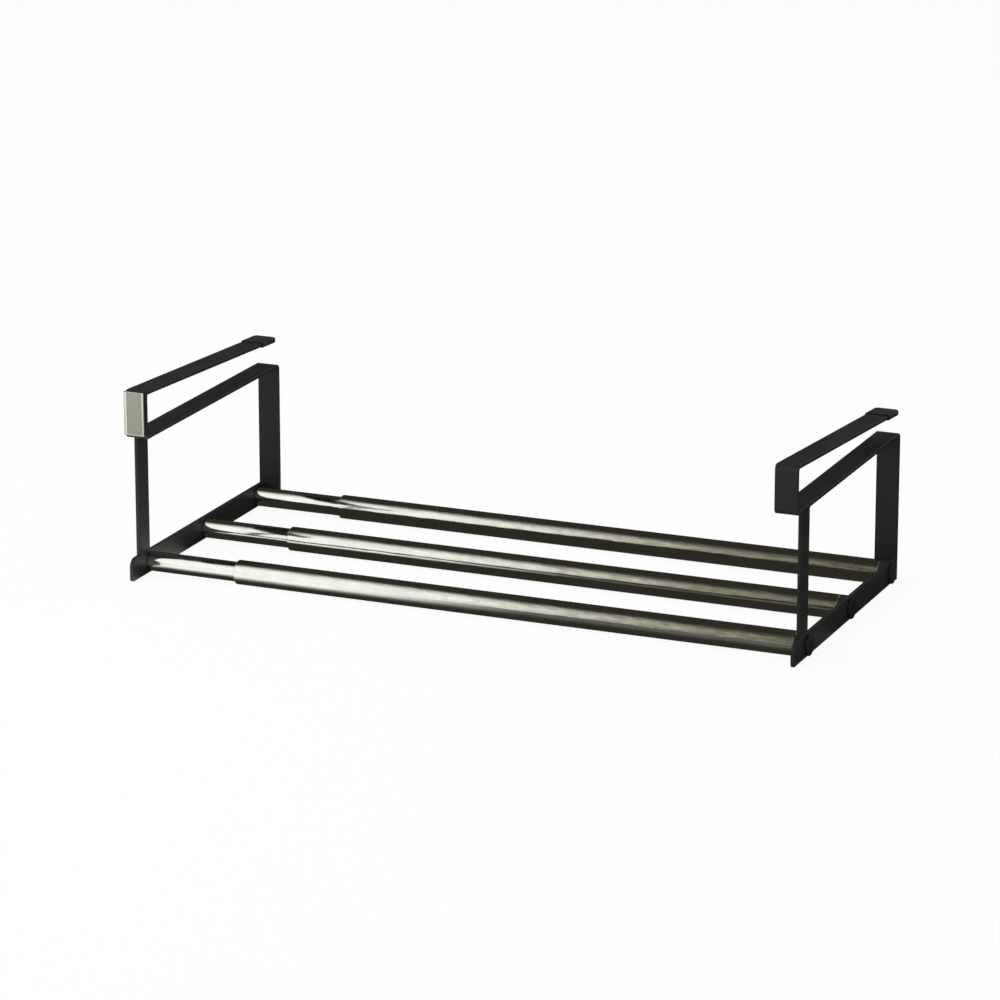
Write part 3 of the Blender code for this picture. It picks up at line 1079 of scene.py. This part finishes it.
def lit(level):
    """Slightly warm white light at a level."""
    warm = bpy.context.scene.rack_studio.light
    return (level * warm[0], level * warm[1], level * warm[2], 1)


def soft_spot(tree, direction, centre, reach):
    """1 within an oval round a direction, and 0 outside it, with a soft edge."""
    offset = add(tree, "VectorMath", {0: direction, 1: centre}, operation="SUBTRACT")
    shares = [1 / distance for distance in reach]
    scaled = add(tree, "VectorMath", {0: offset.outputs["Vector"], 1: shares}, operation="MULTIPLY")
    distance = add(tree, "VectorMath", {0: scaled.outputs["Vector"]}, operation="LENGTH")
    edge = add(
        tree,
        "MapRange",
        {"Value": distance.outputs["Value"], "From Min": 1.3, "From Max": 0.6},
        interpolation_type="SMOOTHSTEP",
    )
    return edge.outputs["Result"]


def soft_patch(tree, split, edges):
    """1 on a part of the floor, and 0 outside it, with soft edges.

    Each edge is given by its axis, where it is dark, where it is light and the share left in the dark.
    """
    share = 1.0
    for axis, dark, light, least in edges:
        edge = add(
            tree,
            "MapRange",
            {"Value": split.outputs[axis], "From Min": dark, "From Max": light, "To Min": least},
            interpolation_type="SMOOTHSTEP",
        )
        product = add(tree, "Math", {0: share, 1: edge.outputs["Result"]}, operation="MULTIPLY")
        share = product.outputs[0]
    return share


def dome_cloth(radius):
    """Dark cloth all round with soft white lights: the tubes mirror the left one as their stripe.

    Each light is given by the direction of its middle, its reach along X, Y and Z, and its colour.
    """
    made, tree, glow, place = glowing_cloth("dome_cloth")
    studio = bpy.context.scene.rack_studio
    direction = add(tree, "VectorMath", {0: place, "Scale": 1 / radius}, operation="SCALE")
    lights = {
        "front_low": ((-0.4, -0.84, 0.39), (0.1, 0.75, 0.75), opaque(studio.low_light)),
        "front_left": ((-0.437, -0.84, 0.39), (0.088, 0.85, 0.85), lit(studio.stripe_level)),
        "left": ((-0.88, -0.45, 0.4), (0.3, 0.6, 0.45), lit(studio.side_level)),
        "front_right": ((0.33, -0.8, 0.42), (0.46, 0.85, 0.6), lit(studio.side_level)),
        "right": ((0.9, -0.45, 0.4), (0.3, 0.6, 0.45), lit(studio.side_level)),
        "rear": ((0.2, 0.8, 0.5), (0.28, 0.6, 0.45), lit(studio.side_level)),
        "rear_right": ((0.78, 0.6, 0.62), (0.28, 0.5, 0.4), lit(studio.side_level * 0.75)),
        "rear_left": ((-0.85, 0.5, 0.5), (0.33, 0.7, 0.4), lit(studio.side_level)),
    }
    tone = opaque(studio.tent)
    for centre, reach, light in lights.values():
        spot = soft_spot(tree, direction.outputs["Vector"], centre, reach)
        mixed = add(tree, "Mix", {0: spot, 6: tone, 7: light}, data_type="RGBA")
        tone = mixed.outputs[2]
    tree.links.new(tone, glow.inputs["Color"])
    return made


def painted_floor_reflection():
    """Glowing sheet that only reflections see: a painted reflection of a lit floor, white at the left
    beside each row of tubes, with painted shade round the rows and towards the right.
    """
    made, tree, glow, place = glowing_cloth("painted_floor_reflection")
    studio = bpy.context.scene.rack_studio
    split = add(tree, "SeparateXYZ", {"Vector": place})
    front, middle, rear = (centre_line("outer_tube_" + row)[0] for row in ROWS)
    # Painted light that fades towards the right; the dark gaps round the rows of tubes, and between
    # the middle and rear rows, are painted shade
    leftward = ("X", 0.06, -0.16, 0.09)
    # The cover plate mirrors the floor beyond the rack's left end, where painted shade makes it dim
    # close to the rack
    beside = ("X", -0.42, -0.34, 0.1)
    away = ("Y", -0.42, -0.72, 0.1)
    before_front = ("Y", front - 10 * MM, front - 31 * MM, 0)
    behind_front = ("Y", front + 12 * MM, front + 32 * MM, 0)
    before_middle = ("Y", middle - 28 * MM, middle - 48 * MM, 0)
    near_rear = ("Y", rear + 9 * MM, rear + 28 * MM, 0)
    beyond_rear = ("Y", rear + 90 * MM, rear + 50 * MM, 0)
    patches = (
        (leftward, beside, before_front),
        (leftward, away, before_front),
        (leftward, beside, behind_front, before_middle),
        (leftward, beside, near_rear, beyond_rear),
    )
    brightest = 0.0
    for edges in patches:
        shares = {0: brightest, 1: soft_patch(tree, split, edges)}
        brightest = add(tree, "Math", shares, operation="MAXIMUM").outputs[0]
    white = lit(studio.stripe_level * 0.95)
    tone = add(tree, "Mix", {0: brightest, 6: opaque(studio.tent), 7: white}, data_type="RGBA")
    tree.links.new(tone.outputs[2], glow.inputs["Color"])
    return made


def seen_directly(tree):
    """1 for a camera, glossy or transmission ray, so that metal shows the background too."""
    path = add(tree, "LightPath")
    seen = 0.0
    for ray in ("Is Camera Ray", "Is Glossy Ray", "Is Transmission Ray"):
        seen = add(tree, "Math", {0: seen, 1: path.outputs[ray]}, operation="MAXIMUM").outputs[0]
    return seen


def floor_paint():
    """Pale floor that keeps a light shadow; what looks at it directly sees nearly plain white."""
    made = bpy.data.materials.new("pale_floor")
    made.use_nodes = True
    tree = made.node_tree
    surface = tree.nodes["Principled BSDF"]
    surface.inputs["Base Color"].default_value = opaque(bpy.context.scene.rack_finishes.floor)
    surface.inputs["Roughness"].default_value = 0.9
    surface.inputs["Specular IOR Level"].default_value = 0.0
    white = add(tree, "Emission", {"Color": (1, 1, 1, 1), "Strength": 1.0})
    whiteness = bpy.context.scene.rack_studio.floor_whiteness
    share = add(tree, "Math", {0: seen_directly(tree), 1: whiteness}, operation="MULTIPLY")
    mixed = add(tree, "MixShader", {0: share.outputs[0], 1: surface.outputs[0], 2: white.outputs[0]})
    tree.links.new(mixed.outputs[0], tree.nodes["Material Output"].inputs["Surface"])
    return made


def light_sky(scene):
    """White background, and an even light below its level on all that scatters it."""
    world = bpy.data.worlds.new("studio_sky")
    world.use_nodes = True
    scene.world = world
    tree = world.node_tree
    background = tree.nodes["Background"]
    background.inputs["Color"].default_value = (1, 1, 1, 1)
    level = add(
        tree,
        "MapRange",
        {"Value": seen_directly(tree), "To Min": scene.rack_studio.sky_level, "To Max": 1.0},
    )
    tree.links.new(level.outputs["Result"], background.inputs["Strength"])


def soft_lamp(name, place, aim, width, power):
    """Square soft lamp that reflections leave out."""
    lamp = bpy.data.lights.new(name, "AREA")
    lamp.size = width
    lamp.energy = power
    obj = bpy.data.objects.new(name, lamp)
    obj.location = place
    obj.rotation_euler = (Vector(aim) - Vector(place)).to_track_quat("-Z", "Y").to_euler()
    obj.visible_glossy = False
    obj.visible_camera = False
    bpy.context.scene.collection.objects.link(obj)


class RACK_OT_stage(bpy.types.Operator):
    """Pale floor, soft light, the surroundings that the tubes mirror, and the camera"""

    bl_idname = "shoe_rack.stage"
    bl_label = "Stage"

    def execute(self, context):
        scene = context.scene
        studio = scene.rack_studio
        scene.view_settings.view_transform = "Standard"
        light_sky(scene)
        lamp_place = (-0.9, -0.9, 2.1)
        lamp_aim = (0, 0, 0.05)
        lamp_width = 1.6
        soft_lamp("key_lamp", lamp_place, lamp_aim, lamp_width, studio.key_power)

        floor_reach = 8.0
        reflection_sheet_height = 0.3 * MM
        stage_object("floor", square_sheet("floor", floor_reach, 0), floor_paint())
        # Glowing sheet just over the floor that only reflections see: a painted reflection of a lit
        # floor, with painted shade under and between the tubes
        cloth = square_sheet("painted_floor_reflection", floor_reach, reflection_sheet_height)
        mirrored_only(stage_object("painted_floor_reflection", cloth, painted_floor_reflection()))

        dome_radius = 30.0
        sphere = bmesh.new()
        bmesh.ops.create_uvsphere(sphere, u_segments=96, v_segments=48, radius=dome_radius)
        dome = bpy.data.meshes.new("dome")
        sphere.to_mesh(dome)
        sphere.free()
        mirrored_only(stage_object("dome", dome, dome_cloth(dome_radius)))

        camera = bpy.data.cameras.new("camera")
        camera.sensor_width = 36
        camera.lens = studio.lens
        camera.clip_end = 50
        viewer = bpy.data.objects.new("camera", camera)
        sideways = math.sin(studio.azimuth) * math.cos(studio.elevation)
        back = -math.cos(studio.azimuth) * math.cos(studio.elevation)
        toward = Vector((sideways, back, math.sin(studio.elevation)))
        viewer.location = Vector(studio.aim) + toward * studio.distance
        viewer.rotation_euler = (math.pi / 2 - studio.elevation, 0, studio.azimuth)
        scene.collection.objects.link(viewer)
        scene.camera = viewer
        return {"FINISHED"}


OPERATORS = (
    RACK_OT_hooks,
    RACK_OT_base_bars,
    RACK_OT_posts,
    RACK_OT_welds,
    RACK_OT_tip_caps,
    RACK_OT_cover_plate,
    RACK_OT_tubes,
    RACK_OT_fittings,
    RACK_OT_bolts,
    RACK_OT_stage,
)


class RACK_PT_sidebar(bpy.types.Panel):
    """Lists what the rack is made of"""

    bl_idname = "RACK_PT_sidebar"
    bl_label = "Shoe Rack"
    bl_space_type = "VIEW_3D"
    bl_region_type = "UI"
    bl_category = "Shoe Rack"

    def draw(self, context):
        column = self.layout.column(align=True)
        for operator in OPERATORS:
            column.operator(operator.bl_idname)


GROUPS = {"rack_sizes": RackSizes, "rack_finishes": RackFinishes, "rack_studio": RackStudio}


def register():
    for group in GROUPS.values():
        bpy.utils.register_class(group)
    for name, group in GROUPS.items():
        setattr(bpy.types.Scene, name, bpy.props.PointerProperty(type=group))
    for operator in OPERATORS:
        bpy.utils.register_class(operator)
    bpy.utils.register_class(RACK_PT_sidebar)


def unregister():
    bpy.utils.unregister_class(RACK_PT_sidebar)
    for operator in reversed(OPERATORS):
        bpy.utils.unregister_class(operator)
    for name, group in reversed(GROUPS.items()):
        delattr(bpy.types.Scene, name)
        bpy.utils.unregister_class(group)


def main():
    register()
    for operator in OPERATORS:
        group, name = operator.bl_idname.split(".")
        getattr(getattr(bpy.ops, group), name)()
    bpy.context.view_layer.update()


if __name__ == "__main__":
    main()
